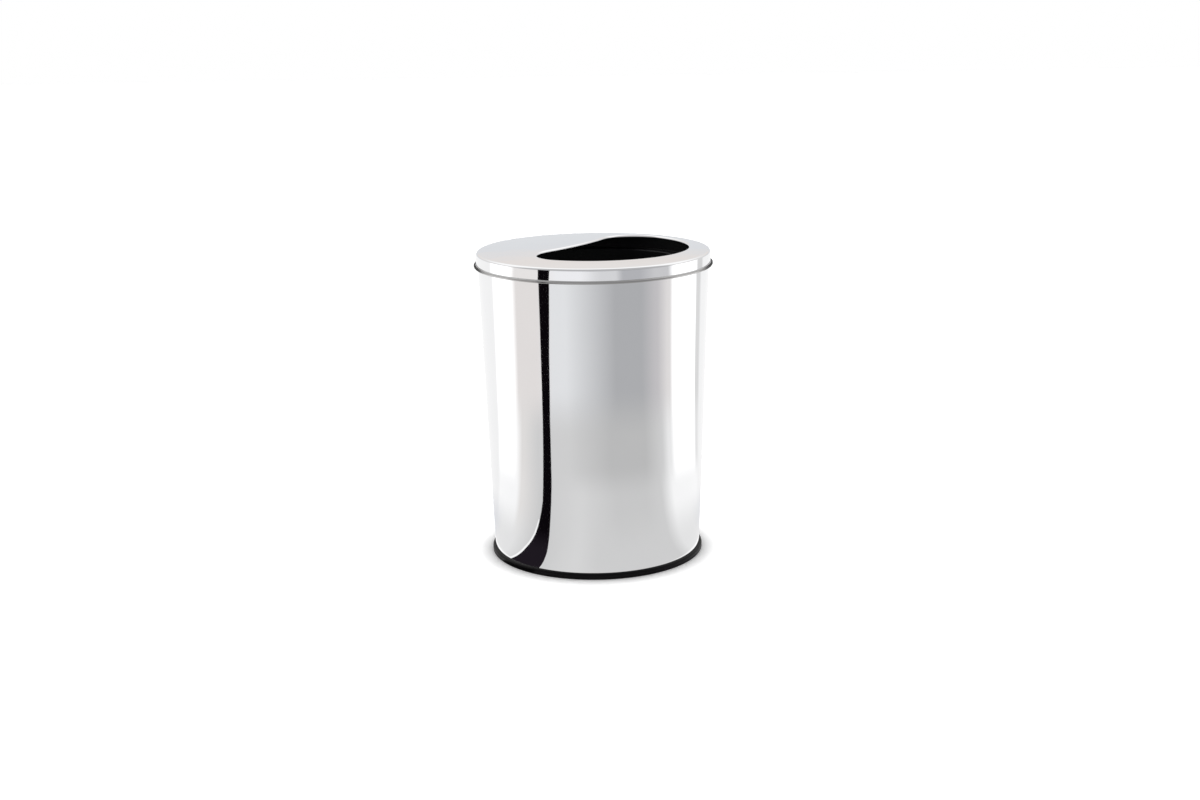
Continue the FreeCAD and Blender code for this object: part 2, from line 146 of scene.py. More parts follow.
class Graph:
    """The node tree of a material or of the world."""

    def __init__(self, tree: bpy.types.NodeTree) -> None:
        """Starts from an empty tree."""
        self.tree = tree
        tree.nodes.clear()

    @staticmethod
    def pick(sockets: bpy.types.bpy_prop_collection, key: str | int) -> bpy.types.NodeSocket:
        """Finds a node's socket by its identifier, its name or its place."""
        named = [socket for socket in sockets if socket.identifier == key]
        return named[0] if named else sockets[key]

    def node(self, kind: str, settings: Settings = None, sockets: Sockets = None) -> bpy.types.Node:
        """Adds one node.

        Args:
            kind: The node's type.
            settings: Its own settings, and a ramp's stops, which are set first.
            sockets: The values or links of its inputs.

        Returns:
            The node.
        """
        node = self.tree.nodes.new(kind)
        for name, setting in (settings or {}).items():
            if name == "stops":
                self.set_stops(node.color_ramp, setting)
            else:
                setattr(node, name, setting)
        for key, given in (sockets or {}).items():
            socket = self.pick(node.inputs, key)
            if isinstance(given, Value):
                self.tree.links.new(given.socket, socket)
            elif socket.type == "RGBA":
                socket.default_value = (*given, 1.0)
            else:
                socket.default_value = given
        return node

    def add(
        self, kind: str, settings: Settings = None, sockets: Sockets = None, output: str | int = 0
    ) -> Value:
        """Adds one node and gives the output of it that is wanted."""
        return Value(self, self.pick(self.node(kind, settings, sockets).outputs, output))

    @staticmethod
    def set_stops(ramp: bpy.types.ColorRamp, stops: Sequence[Stop]) -> None:
        """Gives a ramp its stops.

        Args:
            ramp: The ramp.
            stops: Place and colour of each stop, in order.
        """
        while len(ramp.elements) < len(stops):
            ramp.elements.new(1.0)
        for element, (place, colour) in zip(ramp.elements, stops):
            element.position = place
            element.color = (*colour, 1.0)

    def maths(self, operation: str, *operands: Value | float) -> Value:
        """Adds a Math node on values and numbers, given in the order of its inputs."""
        return self.add("ShaderNodeMath", {"operation": operation}, dict(enumerate(operands)))

    def limited(self, value: Value) -> Value:
        """Keeps a value between 0 and 1."""
        return self.add("ShaderNodeClamp", None, {"Value": value})

    def eased(self, value: Value, low: float, high: float) -> Value:
        """Rises smoothly from 0 to 1 while a value goes from low to high."""
        span = {"Value": value, "From Min": low, "From Max": high}
        return self.add("ShaderNodeMapRange", {"interpolation_type": "SMOOTHSTEP"}, span)

    def place(self) -> Value:
        """Gives the place on the piece, in metres of the shared frame."""
        return self.add("ShaderNodeTexCoord", output="Object")

    def split(self, vector: Value) -> tuple[Value, Value, Value]:
        """Splits a vector into its three values."""
        parts = self.node("ShaderNodeSeparateXYZ", None, {0: vector}).outputs
        return tuple(Value(self, part) for part in parts)

    def distance(self, across: Value, depth: Value) -> Value:
        """Gives the distance from the upright axis."""
        return self.maths("SQRT", across * across + depth * depth)

    def noise(self, vector: Value, grain: Grain) -> Value:
        """Gives a grain's value, which swings round the noise's middle.

        Args:
            vector: The place on the piece.
            grain: The grain.

        Returns:
            The value, from 0 to 1.
        """
        factors = {0: vector, 1: grain.stretch}
        stretched = self.add("ShaderNodeVectorMath", {"operation": "MULTIPLY"}, factors)
        sockets = {"Vector": stretched, "Scale": grain.scale, "Detail": grain.detail}
        return self.add("ShaderNodeTexNoise", None, sockets)

    def blend(self, share: Value, first: Colour | Value, second: Colour | Value) -> Value:
        """Mixes two colours by the share of the second."""
        sockets = {"Factor_Float": share, "A_Color": first, "B_Color": second}
        return self.add("ShaderNodeMix", {"data_type": "RGBA"}, sockets, "Result_Color")

    def raised(self, height: Value, distance: float) -> Value:
        """Gives the normal of a surface that is raised by a value times a distance."""
        return self.add("ShaderNodeBump", None, {"Height": height, "Distance": distance})

    def surface(self, sockets: Sockets) -> Value:
        """Adds the shader of a surface."""
        return self.add("ShaderNodeBsdfPrincipled", None, sockets)

    def by_ray(self, ray: Ray, first: Value, second: Value) -> Value:
        """Mixes two shaders, the second of which shows to one kind of ray."""
        share = self.add("ShaderNodeLightPath", output=ray.value)
        return self.add("ShaderNodeMixShader", None, {0: share, 1: first, 2: second})


def made_material(name: str, shader: Callable[[Graph], Value]) -> bpy.types.Material:
    """Makes a material.

    Args:
        name: Its name.
        shader: What builds its shader in a graph.

    Returns:
        The material.
    """
    made = bpy.data.materials.new(name)
    made.use_nodes = True
    graph = Graph(made.node_tree)
    graph.node("ShaderNodeOutputMaterial", None, {"Surface": shader(graph)})
    return made


@dataclass(frozen=True)
class Finish:
    """A surface finish, kept with the name of one of the part's material slots."""

    name: str
    slot: str

    def material(self) -> bpy.types.Material:
        """Makes the finish's material."""
        return made_material(self.name, self.shader)

    def shader(self, graph: Graph) -> Value:
        """Builds the finish's shader in a graph."""
        raise NotImplementedError


@dataclass(frozen=True)
class PolishedSteel(Finish):
    """Mirror-polished sheet with faint polishing lines, handling marks and a little waviness."""

    tint: Colour = (0.86, 0.86, 0.865)
    shaded_tint: Colour = (0.83, 0.832, 0.84)
    roughness: float = 0.04
    marks: Grain = Grain(22.0, 4.0)
    mark_share: float = 0.025
    lines: Grain = Grain(6.0, 3.0, (1.0, 1.0, 220.0))
    line_share: float = 0.02
    waves: Grain = Grain(16.0, 1.0)
    wave_height: float = 0.00003

    def shader(self, graph: Graph) -> Value:
        """Builds the polished steel.

        Args:
            graph: The graph to build in.

        Returns:
            The shader's output.
        """
        place = graph.place()
        marks = graph.noise(place, self.marks)
        lines = graph.noise(place, self.lines)
        waves = graph.noise(place, self.waves)
        marked = self.mark_share * (marks - NOISE_MIDDLE)
        lined = self.line_share * (lines - NOISE_MIDDLE)
        tint = graph.blend(marks, self.tint, self.shaded_tint)
        tint, roughness, metal = self.worked(graph, place, tint, self.roughness + marked + lined)
        return graph.surface(
            {
                "Base Color": tint,
                "Metallic": metal,
                "Roughness": graph.limited(roughness),
                "Normal": graph.raised(waves, self.wave_height),
            }
        )

    def worked(self, graph: Graph, place: Value, tint: Value, roughness: Value) -> Worked:
        """Gives the tint, the roughness and the share of metal of plain sheet, as they are."""
        return tint, roughness, 1.0


@dataclass(frozen=True)
class SeamedSteel(PolishedSteel):
    """Polished sheet rolled to a wall, with a ground weld seam up the back."""

    seam_half_width: float = 0.0012
    seam_roughness: float = 0.16
    seam_share: float = 0.5

    def worked(self, graph: Graph, place: Value, tint: Value, roughness: Value) -> Worked:
        """Dulls the sheet along the seam.

        Args:
            graph: The graph to build in.
            place: The place on the piece.
            tint: The sheet's tint.
            roughness: The sheet's roughness.

        Returns:
            The tint, the roughness and the share of metal with the seam.
        """
        across, depth, _ = graph.split(place)
        near = graph.limited(1.0 - abs(across) / self.seam_half_width)
        seam = near * graph.maths("GREATER_THAN", depth, 0.0)
        tint = graph.blend(seam * self.seam_share, tint, self.shaded_tint)
        return tint, roughness + seam * self.seam_roughness, 1.0


@dataclass(frozen=True, kw_only=True)
class HemmedSteel(PolishedSteel):
    """Polished sheet pressed to a lid, whose curled hem is tinted darker: lighter grey at front and back,
    near black at the left and right sides.
    """

    skirt_radius: float
    bead_top: float
    waves: Grain = Grain(45.0, 1.0)
    wave_height: float = 0.0002
    hem_proud: float = 0.00025
    hem_edge: float = 0.0002
    # Tints of the dark hem: lighter grey at front and back, near black at the left and right sides.
    hem_front_tint: Colour = (0.4, 0.395, 0.39)
    hem_side_tint: Colour = (0.006, 0.005, 0.005)
    hem_roughness: float = 0.08
    side_roughness: float = 0.6
    front_tint_until: float = 0.108
    side_tint_from: float = 0.1205

    def worked(self, graph: Graph, place: Value, tint: Value, roughness: Value) -> Worked:
        """Darkens the hem.

        Args:
            graph: The graph to build in.
            place: The place on the piece.
            tint: The sheet's tint.
            roughness: The sheet's roughness.

        Returns:
            The tint, the roughness and the share of metal with the hem.
        """
        across, depth, height = graph.split(place)
        hem_start = self.skirt_radius + self.hem_proud
        outer = graph.limited((graph.distance(across, depth) - hem_start) / self.hem_edge)
        hem = outer * graph.limited((self.bead_top + self.hem_edge - height) / self.hem_edge)
        # The hem's tint goes from lighter grey at front and back to near black at the left and right
        # sides, which are also rougher and not metal.
        side = graph.eased(abs(across), self.front_tint_until, self.side_tint_from)
        skin = graph.blend(side, self.hem_front_tint, self.hem_side_tint)
        roughness = roughness + hem * (self.hem_roughness + side * self.side_roughness)
        return graph.blend(hem, tint, skin), roughness, 1.0 - hem * side


@dataclass(frozen=True)
class Grained(Finish):
    """A dull skin with clouds of a second tint and a raised grain."""

    tint: Colour
    second_tint: Colour
    roughness: float
    roughness_share: float
    cloud: Grain
    grain: Grain
    grain_height: float
    gloss: float
    metal: float

    def shader(self, graph: Graph) -> Value:
        """Builds the grained skin.

        Args:
            graph: The graph to build in.

        Returns:
            The shader's output.
        """
        place = graph.place()
        cloud = graph.noise(place, self.cloud)
        grain = graph.noise(place, self.grain)
        swing = (cloud - NOISE_MIDDLE) + (grain - NOISE_MIDDLE)
        return graph.surface(
            {
                "Base Color": graph.blend(cloud, self.tint, self.second_tint),
                "Metallic": self.metal,
                "Specular IOR Level": self.gloss,
                "Roughness": graph.limited(self.roughness + self.roughness_share * swing),
                "Normal": graph.raised(grain, self.grain_height),
            }
        )


@dataclass(frozen=True)
class SatinSteel(Grained):
    """Pressed or drawn steel with a mottled grey skin and drawing lines."""

    tint: Colour = (0.62, 0.62, 0.63)
    second_tint: Colour = (0.48, 0.485, 0.5)
    roughness: float = 0.36
    roughness_share: float = 0.16
    cloud: Grain = Grain(60.0, 5.0)
    grain: Grain = Grain(30.0, 3.0, (40.0, 1.0, 1.0))
    grain_height: float = 0.00002
    gloss: float = 0.5
    metal: float = 1.0


@dataclass(frozen=True)
class MouldedPlastic(Grained):
    """Black moulded plastic with a fine grain."""

    tint: Colour = (0.012, 0.012, 0.0135)
    second_tint: Colour = (0.022, 0.022, 0.024)
    roughness: float = 0.42
    roughness_share: float = 0.14
    cloud: Grain = Grain(30.0, 4.0)
    grain: Grain = Grain(1400.0, 2.0)
    grain_height: float = 0.00004
    gloss: float = 0.5
    metal: float = 0.0


BODY_STEEL = SeamedSteel("body_steel", "polished_steel")
PAN_STEEL = SatinSteel("pan_steel", "pressed_steel")
WIRE_STEEL = SatinSteel(
    "wire_steel", "bail_steel", tint=(0.6, 0.61, 0.62), roughness=0.28, cloud=Grain(320.0, 5.0)
)
RING_PLASTIC = MouldedPlastic(
    "ring_black",
    "ring_plastic",
    tint=(0.0025, 0.002, 0.0028),
    second_tint=(0.005, 0.004, 0.005),
    gloss=0.08,
)
BUCKET_PLASTIC = MouldedPlastic(
    "bucket_black",
    "bucket_plastic",
    tint=(0.004, 0.004, 0.005),
    second_tint=(0.008, 0.008, 0.009),
    gloss=0.3,
)
GRIP_PLASTIC = MouldedPlastic(
    "grip_black", "grip_plastic", tint=(0.014, 0.014, 0.015), grain=Grain(900.0, 2.0)
)


def way_at(angle_deg: float) -> Vector:
    """Gives the level direction of an angle."""
    angle = math.radians(angle_deg)
    return Vector((math.cos(angle), math.sin(angle)))


def angle_of(way: Vector) -> float:
    """Gives the angle of a level direction, in degrees."""
    return math.degrees(math.atan2(way.y, way.x))


def arc(centre: Point, radius: float, start_deg: float, end_deg: float) -> list[Point]:
    """Lists points along an arc.

    Args:
        centre: The arc's middle.
        radius: Its radius.
        start_deg: The angle where it starts.
        end_deg: The angle where it ends.

    Returns:
        The points, both ends among them.
    """
    steps = max(ARC_LEAST_STEPS, math.ceil(abs(end_deg - start_deg) / ARC_STEP_DEG))
    ways = [way_at(start_deg + (end_deg - start_deg) * k / steps) for k in range(steps + 1)]
    return [(centre[0] + radius * way.x, centre[1] + radius * way.y) for way in ways]


def rounded(corners: Sequence[Corner], closed: bool) -> list[Point]:
    """Rounds the corners of an outline.

    Args:
        corners: The two places and the rounding of each corner.
        closed: Whether the last corner runs on to the first.

    Returns:
        The outline's points.
    """
    points: list[Point] = []
    for index, (across, up, rounding) in enumerate(corners):
        inside = closed or 0 < index < len(corners) - 1
        if not (rounding and inside):
            points.append((across, up))
            continue
        here = Vector((across, up))
        before = (Vector(corners[index - 1][:2]) - here).normalized()
        after = (Vector(corners[(index + 1) % len(corners)][:2]) - here).normalized()
        half_turn = before.angle(after) / 2
        middle = here + (before + after).normalized() * (rounding / math.sin(half_turn))
        reach = rounding / math.tan(half_turn)
        start = here + before * reach - middle
        end = here + after * reach - middle
        start_deg = angle_of(start)
        turn_deg = math.degrees(math.atan2(start.x * end.y - start.y * end.x, start.dot(end)))
        points.extend(arc((middle.x, middle.y), rounding, start_deg, start_deg + turn_deg))
    return points


def strip(low: Sequence[int], high: Sequence[int]) -> list[Face]:
    """Joins two rings of vertices, either of which may be a single point.

    Args:
        low: The vertices of the first ring.
        high: The vertices of the second ring.

    Returns:
        The faces between them.
    """
    count = max(len(low), len(high))
    if count == 1:
        return []
    faces = []
    for k in range(count):
        after = (k + 1) % count
        corners = [low[k % len(low)], low[after % len(low)], high[after % len(high)], high[k % len(high)]]
        faces.append(tuple(dict.fromkeys(corners)))
    return faces


def linked(name: str, data: bpy.types.ID) -> bpy.types.Object:
    """Puts a mesh, a lamp or a camera into the scene.

    Args:
        name: The object's name.
        data: What it shows.

    Returns:
        The object.
    """
    made = bpy.data.objects.new(name, data)
    bpy.context.scene.collection.objects.link(made)
    return made


def smoothed(mesh: bpy.types.Mesh) -> None:
    """Turns a mesh's faces outwards and shades it smooth between its creases.

    Args:
        mesh: The mesh.
    """
    shape = bmesh.new()
    shape.from_mesh(mesh)
    bmesh.ops.recalc_face_normals(shape, faces=shape.faces)
    shape.to_mesh(mesh)
    shape.free()
    mesh.shade_smooth()
    mesh.set_sharp_from_angle(angle=math.radians(CREASE_DEG))


def made_of_rings(name: str, rings: Sequence[Sequence[Vector]], closed: bool) -> bpy.types.Object:
    """Builds a piece by joining rings of points one after another.

    Args:
        name: The piece's name.
        rings: The rings, each a loop of points or a single point.
        closed: Whether the last ring is joined to the first.

    Returns:
        The piece.
    """
    vertices: list[Vector] = []
    places: list[range] = []
    for ring in rings:
        places.append(range(len(vertices), len(vertices) + len(ring)))
        vertices.extend(ring)
    followers = places[1:] + places[:1] if closed else places[1:]
    faces = [face for low, high in zip(places, followers) for face in strip(low, high)]
    mesh = bpy.data.meshes.new(name)
    mesh.from_pydata(vertices, [], faces)
    smoothed(mesh)
    return linked(name, mesh)


def turns(count: int) -> list[float]:
    """Lists the angles of a whole turn in equal steps, in radians."""
    return [math.tau * k / count for k in range(count)]


def circle(radius: float, height: float, count: int) -> list[Vector]:
    """Lists the points of a level circle round the upright axis, from the front on."""
    return [Vector((radius * math.sin(turn), -radius * math.cos(turn), height)) for turn in turns(count)]


def turned(name: str, outline: Sequence[Point], closed: bool) -> bpy.types.Object:
    """Builds a piece by turning an outline about the upright axis.

    Args:
        name: The piece's name.
        outline: Radius and height of the outline's points.
        closed: Whether the outline's end runs on to its start.

    Returns:
        The piece.
    """
    rings = [
        circle(across, up, SEGMENTS) if across > AXIS_LIMIT else [Vector((0.0, 0.0, up))]
        for across, up in outline
    ]
    return made_of_rings(name, rings, closed)


def tube(name: str, stations: Sequence[TubeStation], sides: int, closed: bool) -> bpy.types.Object:
    """Builds a tube round a line that lies level.

    Args:
        name: The piece's name.
        stations: Point, heading in radians and radius along the line.
        sides: How many faces go round it.
        closed: Whether the last station runs on to the first, as round a bored grip.

    Returns:
        The piece.
    """
    up = Vector((0.0, 0.0, 1.0))
    rings = []
    for point, heading, radius in stations:
        aside = Vector((-math.sin(heading), math.cos(heading), 0.0))
        spokes = [math.cos(turn) * aside + math.sin(turn) * up for turn in turns(sides)]
        rings.append([point + radius * spoke for spoke in spokes] if radius > AXIS_LIMIT else [point])
    return made_of_rings(name, rings, closed)


def dress(piece: bpy.types.Object, finish: Finish, body: Body, node: str) -> None:
    """Gives a piece its finish and its place in the frame.

    Args:
        piece: The piece.
        finish: Its finish.
        body: The body that it rides on.
        node: The node that it stands for.
    """
    piece.data.materials.clear()
    piece.data.materials.append(finish.material())
    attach(piece, body.value)
    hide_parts(node)
    LOG.info("%s: %d faces on %s", piece.name, len(piece.data.polygons), body.value)


@dataclass
class BodyShell:
    """The tapered wall of rolled sheet with its curled rim."""

    sole: float = 0.0025
    length: float = 0.3206
    rim_radius: float = 0.122
    taper: float = 0.011
    sheet: float = 0.0006
    curl: float = 0.0012
    edge_band: float = 0.0006

    @property
    def top(self) -> float:
        """Height of the rim's top."""
        return self.sole + self.length

    @property
    def foot_radius(self) -> float:
        """Radius of the wall at its foot."""
        return self.rim_radius - self.taper

    @property
    def slope(self) -> float:
        """How much the wall opens over a unit of height."""
        return self.taper / (self.length - self.curl)

    @property
    def rim_inside(self) -> float:
        """Radius inside the curled rim."""
        return self.rim_radius - 2 * self.curl

    def radius_at(self, height: float) -> float:
        """Outer radius of the wall at a height."""
        return self.foot_radius + self.slope * (height - self.sole)

    def build(self) -> None:
        """Builds and dresses the wall."""
        curl_middle = self.top - self.curl
        ends = (self.sole, self.sole + self.edge_band, curl_middle - self.edge_band)
        outline = [(self.radius_at(height), height) for height in ends]
        outline += arc((self.rim_radius - self.curl, curl_middle), self.curl, 0.0, 270.0)
        inner_top = curl_middle - self.curl
        inner = (inner_top, inner_top - self.edge_band, self.sole + self.edge_band, self.sole)
        outline += [(self.radius_at(height) - self.sheet, height) for height in inner]
        dress(turned("can_wall", outline, closed=True), BODY_STEEL, Body.CAN, "body_shell")


@dataclass
class BottomPan:
    """The pressed bottom with its flange inside the wall."""

    shell: BodyShell
    depth: float = 0.010
    corner: float = 0.003
    step: float = 0.003
    border: float = 0.026
    fold: float = 0.002
    seat_gap: float = 0.0002

    @property
    def top(self) -> float:
        """Height of the pan's border."""
        return self.shell.sole + self.depth

    @property
    def floor(self) -> float:
        """Height of the pan's raised middle."""
        return self.top + self.step

    @property
    def foot(self) -> float:
        """Outer radius of the flange's foot."""
        return self.shell.foot_radius - self.shell.sheet - self.seat_gap

    def build(self) -> None:
        """Builds and dresses the pan."""
        sheet = self.shell.sheet
        side = self.foot + self.shell.slope * self.depth
        plateau = self.foot - self.border
        corners = [
            (self.foot, self.shell.sole, 0.0),
            (side, self.top, self.corner),
            (plateau + self.step, self.top, self.fold),
            (plateau, self.floor, self.fold),
            (0.0, self.floor, 0.0),
            (0.0, self.floor - sheet, 0.0),
            (plateau - sheet / 2, self.floor - sheet, self.fold),
            (plateau + self.step - sheet / 2, self.top - sheet, self.fold),
            (side - sheet, self.top - sheet, self.corner - sheet),
            (self.foot - sheet, self.shell.sole, 0.0),
        ]
        plate = turned("bottom_plate", rounded(corners, closed=True), closed=True)
        dress(plate, PAN_STEEL, Body.CAN, "bottom_pan")


@dataclass
class BaseRing:
    """The black ring that holds the foot of the wall."""

    shell: BodyShell
    pan: BottomPan
    height: float = 0.006
    proud: float = 0.003
    top_round: float = 0.0018
    edge_round: float = 0.0008
    lip: float = 0.003
    lip_round: float = 0.0006

    def build(self) -> None:
        """Builds and dresses the ring."""
        gap = self.pan.seat_gap
        sole = self.shell.sole
        outside = self.shell.foot_radius + self.proud
        groove_out = self.shell.foot_radius + gap
        groove_in = self.pan.foot - self.shell.sheet - gap
        inside = groove_in - self.lip
        lean = self.shell.slope * (self.height - sole)
        corners = [
            (inside, 0.0, self.edge_round),
            (outside, 0.0, self.edge_round),
            (outside, self.height, self.top_round),
            (groove_out + lean, self.height, 0.0),
            (groove_out, sole, 0.0),
            (groove_in, sole, 0.0),
            (groove_in + lean, self.height, self.lip_round),
            (inside, self.height, self.lip_round),
        ]
        ring = turned("foot_ring", rounded(corners, closed=True), closed=True)
        dress(ring, RING_PLASTIC, Body.CAN, "base_ring")


@dataclass
class InnerBucket:
    """The black bucket that hangs by its flange on the body's rim."""

    shell: BodyShell
    pan: BottomPan
    wall: float = 0.0018
    foot_corner: float = 0.009
    foot_gap: float = 0.002
    collar_depth: float = 0.0145
    ledge_width: float = 0.0115
    flange: float = 0.0022
    flange_round: float = 0.001
    moulded_round: float = 0.0008
    rest_gap: float = 0.0003
    wall_gap: float = 0.0016
    pivot_radius: float = 0.0023
    pivot_rise: float = 0.0048
    bore_sides: int = 48
    bore_overrun: float = 0.005

    @property
    def flange_under(self) -> float:
        """Height of the flange's underside."""
        return self.shell.top + self.rest_gap

    @property
    def flange_top(self) -> float:
        """Height of the flange's top."""
        return self.flange_under + self.flange

    @property
    def ledge_top(self) -> float:
        """Height of the ledge that the bail lies over."""
        return self.flange_top - self.collar_depth

    @property
    def collar_outside(self) -> float:
        """Outer radius of the collar."""
        return self.shell.rim_inside - self.wall_gap

    @property
    def collar_inside(self) -> float:
        """Inner radius of the collar."""
        return self.collar_outside - self.wall

    @property
    def pivot_height(self) -> float:
        """Height of the bail's pivots."""
        return self.ledge_top + self.pivot_rise

    def outline(self) -> list[Point]:
        """Draws the bucket's section from the axis, round the outside and back inside.

        Returns:
            The section's points.
        """
        foot = self.pan.floor + self.foot_gap
        top_outside = self.collar_outside - self.ledge_width
        foot_outside = top_outside - self.shell.slope * (self.ledge_top - foot)
        flange_outside = self.shell.rim_radius - self.shell.curl / 2
        soft = self.moulded_round
        return rounded(
            [
                (0.0, foot, 0.0),
                (foot_outside, foot, self.foot_corner),
                (top_outside, self.ledge_top - self.wall, soft),
                (self.collar_outside, self.ledge_top - self.wall, soft),
                (self.collar_outside, self.flange_under, soft),
                (flange_outside, self.flange_under, soft / 2),
                (flange_outside, self.flange_top, self.flange_round),
                (self.collar_inside, self.flange_top, soft),
                (self.collar_inside, self.ledge_top, soft),
                (top_outside - self.wall, self.ledge_top, soft),
                (foot_outside - self.wall, foot + self.wall, self.foot_corner - self.wall),
                (0.0, foot + self.wall, 0.0),
            ],
            closed=False,
        )

    def bore(self, piece: bpy.types.Object) -> None:
        """Bores the bail's two pivot holes through the collar.

        Args:
            piece: The bucket.
        """
        reach = self.collar_outside + self.bore_overrun
        start = Vector((-reach, 0.0, self.pivot_height))
        end = Vector((reach, 0.0, self.pivot_height))
        places = ((start, 0.0), (start, self.pivot_radius), (end, self.pivot_radius), (end, 0.0))
        stations = [(point, 0.0, radius) for point, radius in places]
        drill = tube("pivot_drill", stations, self.bore_sides, closed=False)
        cut = piece.modifiers.new("pivot_holes", "BOOLEAN")
        cut.operation = "DIFFERENCE"
        cut.solver = "EXACT"
        cut.object = drill
        cut_piece = piece.evaluated_get(bpy.context.evaluated_depsgraph_get())
        piece.data = bpy.data.meshes.new_from_object(cut_piece)
        piece.modifiers.clear()
        bpy.data.objects.remove(drill)
        smoothed(piece.data)

    def build(self) -> None:
        """Builds and dresses the bucket."""
        piece = turned("bucket_moulding", self.outline(), closed=False)
        self.bore(piece)
        dress(piece, BUCKET_PLASTIC, Body.BUCKET, "inner_bucket")


@dataclass
class Bail:
    """The bucket's wire bail with its moulded grip."""

    bucket: InnerBucket
    wire_radius: float = 0.002
    wire_edge: float = 0.0004
    wire_sides: int = 32
    bend: float = 0.005
    tip: float = 0.0008
    grip_radius: float = 0.0045
    grip_angle_deg: float = 46.0
    grip_round: float = 0.0012
    grip_gap: float = 0.00015
    grip_steps: int = 72
    groove_depth: float = 0.0003
    groove_count: int = 5
    groove_share: float = 0.5
    wall_gap: float = 0.0015

    @property
    def reach(self) -> float:
        """How far the bail's wire reaches to the front."""
        return self.bucket.collar_inside - self.grip_radius - self.wall_gap

    @property
    def bow(self) -> float:
        """Radius of the bail's half circle."""
        return self.reach - self.bend

    def wire_line(self) -> list[tuple[Vector, float]]:
        """Draws the wire from one pivot round the front to the other.

        Returns:
            Points and headings along the wire.
        """
        height = self.bucket.pivot_height
        end = self.bucket.collar_outside + self.tip
        first = [(-end + self.wire_edge, 0.0), *arc((-self.reach, -self.bend), self.bend, 90.0, 0.0)]
        front = arc((0.0, -self.bend), self.bow, 180.0, 270.0)[1:]
        half = first + front
        plan = half + [(-across, depth) for across, depth in reversed(half[:-1])]
        points = [Vector((across, depth, height)) for across, depth in plan]
        last = len(points) - 1
        line = []
        for index, point in enumerate(points):
            along = points[min(index + 1, last)] - points[max(index - 1, 0)]
            level = index in (0, 1, last - 1, last)
            line.append((point, 0.0 if level else math.atan2(along.y, along.x)))
        return line

    def build_wire(self) -> None:
        """Builds and dresses the wire."""
        line = self.wire_line()
        stations = [(point, heading, self.wire_radius) for point, heading in line]
        edge = Vector((self.wire_edge, 0.0, 0.0))
        start, end = line[0][0] - edge, line[-1][0] + edge
        slim = self.wire_radius - self.wire_edge
        stations = [(start, 0.0, 0.0), (start, 0.0, slim), *stations, (end, 0.0, slim), (end, 0.0, 0.0)]
        rod = tube("bail_rod", stations, self.wire_sides, closed=False)
        dress(rod, WIRE_STEEL, Body.BAIL, "bail_wire")

    def grip_section(self) -> list[Point]:
        """Draws the grip's section: length along the bow, and distance from the wire's middle.

        Returns:
            The closed section's points.
        """
        half = math.radians(self.grip_angle_deg) / 2 * self.bow
        bore = self.wire_radius + self.grip_gap
        outer = rounded(
            [
                (-half, bore, 0.0),
                (-half, self.grip_radius, self.grip_round),
                (half, self.grip_radius, self.grip_round),
                (half, bore, 0.0),
            ],
            closed=False,
        )
        corner = len(outer) // 2
        ridged = half * self.groove_share
        middle = []
        for k in range(self.grip_steps + 1):
            along = -ridged + 2 * ridged * k / self.grip_steps
            wave = math.sin(math.pi * self.groove_count * (along + ridged) / (2 * ridged))
            middle.append((along, self.grip_radius - self.groove_depth * wave * wave))
        inner = [(half * (1 - 2 * k / self.grip_steps), bore) for k in range(1, self.grip_steps)]
        return outer[:corner] + middle + outer[corner:] + inner

    def build_grip(self) -> None:
        """Builds and dresses the grip."""
        height = self.bucket.pivot_height
        stations = []
        for along, radius in self.grip_section():
            turn = along / self.bow
            point = Vector((self.bow * math.sin(turn), -self.bend - self.bow * math.cos(turn), height))
            stations.append((point, turn, radius))
        handle = tube("bail_handle", stations, self.wire_sides, closed=True)
        dress(handle, GRIP_PLASTIC, Body.BAIL, "bail_grip")

    def build(self) -> None:
        """Builds the wire and the grip."""
        self.build_wire()
        self.build_grip()


class Track(Enum):
    """How a ring of the lid is placed."""

    MOUTH = "distance from the mouth's edge, and rise above the crown"
    CROWN = "share of the way from the mouth to the shoulder, and rise above the crown"
    TURNED = "radius and height"


LidStation = tuple[Track, float, float]
MouthPoint = tuple[Vector, Vector]


